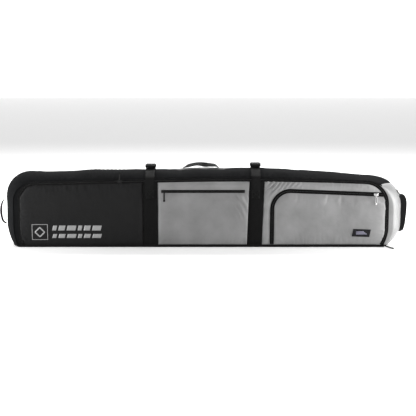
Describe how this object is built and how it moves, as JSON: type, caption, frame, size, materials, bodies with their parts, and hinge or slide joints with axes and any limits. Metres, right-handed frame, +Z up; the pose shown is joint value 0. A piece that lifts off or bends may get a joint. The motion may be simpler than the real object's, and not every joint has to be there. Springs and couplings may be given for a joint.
{
  "type": "snowboard bag",
  "caption": "Long padded bag for a snowboard, with a fold-down zipped front, outer zip pockets, compression straps and webbing handles.",
  "frame": {"origin": "middle of the flat base, on the surface the bag stands on", "axes": "+X along the bag towards the silver end, -Y out of the front with the pockets, +Z up"},
  "size_m": [1.712, 0.2171, 0.3436],
  "materials": {
    "black_fabric": "woven polyester, matte",
    "black_panel_fabric": "woven polyester with a slight sheen",
    "divider_fabric": "ribbed woven polyester",
    "grey_fabric": "coated woven polyester, satin",
    "silver_fabric": "coated woven polyester with a soft metallic sheen",
    "base_fabric": "coarse woven polyester",
    "webbing": "woven nylon webbing",
    "patch_fabric": "woven reinforcement, box stitched",
    "patch_silver": "coated reinforcement, box stitched",
    "zip_tape": "woven zip tape",
    "zip_coil": "nylon coil",
    "slider_dark": "dark painted zinc",
    "slider_silver": "nickel plated zinc",
    "pull_black": "moulded soft pull",
    "buckle_plastic": "moulded acetal",
    "foam": "closed cell foam",
    "lining": "plain woven lining",
    "label": "moulded patch",
    "print": "screen print"
  },
  "bodies": {
    "bag_body": {"base_gusset": "base_fabric", "back_panel": "black_fabric", "left_end_gusset": "black_fabric", "top_gusset": "black_fabric", "right_end_panel": "silver_fabric", "main_zip_tape_body": "zip_tape", "zip_end_tail": "pull_black", "main_zip_coil_body": "zip_coil", "base_foam_pad": "foam", "back_foam_pad": "foam", "back_lining": "lining", "left_strap_rear": "webbing", "right_strap_rear": "webbing", "left_buckle_female": "buckle_plastic", "right_buckle_female": "buckle_plastic", "top_handle_patch": "patch_fabric", "left_handle_patch": "patch_fabric", "right_handle_patch": "patch_silver"},
    "front_cover": {"main_zip_tape_cover": "zip_tape", "main_zip_coil_cover": "zip_coil", "left_front_panel": "black_panel_fabric", "left_divider_band": "divider_fabric", "middle_front_panel": "grey_fabric", "right_divider_band": "divider_fabric", "right_front_panel": "silver_fabric", "front_foam_pad": "foam", "front_lining": "lining", "middle_pocket_liner": "lining", "right_pocket_liner": "lining", "left_strap_front": "webbing", "right_strap_front": "webbing", "middle_pocket_zip": "zip_tape", "right_pocket_zip": "zip_tape", "label_patch": "label", "panel_print": "print"},
    "left_buckle_male": {"left_buckle_male": "buckle_plastic"},
    "right_buckle_male": {"right_buckle_male": "buckle_plastic"},
    "top_handle_body": {"top_handle": "webbing"},
    "left_end_loop": {"left_end_loop": "webbing"},
    "right_end_handle": {"right_end_handle": "webbing"},
    "main_zip_slider": {"main_zip_slider": "slider_dark"},
    "main_zip_pull": {"main_zip_pull": "slider_dark"},
    "middle_pocket_slider": {"middle_pocket_slider": "slider_dark"},
    "middle_pocket_pull": {"middle_pocket_pull": "pull_black"},
    "right_pocket_slider": {"right_pocket_slider": "slider_silver"},
    "right_pocket_pull": {"right_pocket_pull": "slider_silver"}
  },
  "joints": [
    {"name": "front_cover_hinge", "type": "hinge", "parent": "bag_body", "child": "front_cover", "pos_m": [0, -0.085, 0.01], "axis": [1, 0, 0], "range_deg": [0, 80]},
    {"name": "left_buckle_release", "type": "slide", "parent": "front_cover", "child": "left_buckle_male", "axis": [0, -1, 0], "range_m": [0, 0.026]},
    {"name": "right_buckle_release", "type": "slide", "parent": "front_cover", "child": "right_buckle_male", "axis": [0, -1, 0], "range_m": [0, 0.026]},
    {"name": "top_handle_swing", "type": "hinge", "parent": "bag_body", "child": "top_handle_body", "pos_m": [-0.012, 0, 0.3251], "axis": [0.9999, 0, 0.0122], "range_deg": [-20, 20]},
    {"name": "left_loop_swing", "type": "hinge", "parent": "bag_body", "child": "left_end_loop", "pos_m": [-0.826, 0, 0.143], "axis": [0, 0, 1], "range_deg": [-20, 20]},
    {"name": "right_handle_swing", "type": "hinge", "parent": "bag_body", "child": "right_end_handle", "pos_m": [0.826, -0.0191, 0.145], "axis": [0, 0, 1], "range_deg": [-60, 60]},
    {"name": "main_zip_travel", "type": "slide", "parent": "front_cover", "child": "main_zip_slider", "axis": [0.9997, 0, 0.0262], "range_m": [-0.33, 0.08]},
    {"name": "main_pull_swing", "type": "hinge", "parent": "main_zip_slider", "child": "main_zip_pull", "pos_m": [-0.347, -0.0948, 0.27465], "axis": [1, 0, 0], "range_deg": [0, 190]},
    {"name": "middle_pocket_travel", "type": "slide", "parent": "front_cover", "child": "middle_pocket_slider", "axis": [1, 0, 0], "range_m": [0, 0.325]},
    {"name": "middle_pull_swing", "type": "hinge", "parent": "middle_pocket_slider", "child": "middle_pocket_pull", "pos_m": [-0.163, -0.0948, 0.234], "axis": [-1, 0, 0], "range_deg": [0, 100]},
    {"name": "right_pocket_travel", "type": "slide", "parent": "front_cover", "child": "right_pocket_slider", "axis": [-0.9992, 0, 0.0401], "range_m": [0, 0.33]},
    {"name": "right_pull_swing", "type": "hinge", "parent": "right_pocket_slider", "child": "right_pocket_pull", "pos_m": [0.713, -0.0948, 0.22188], "axis": [-1, 0, 0], "range_deg": [0, 100]}
  ]
}
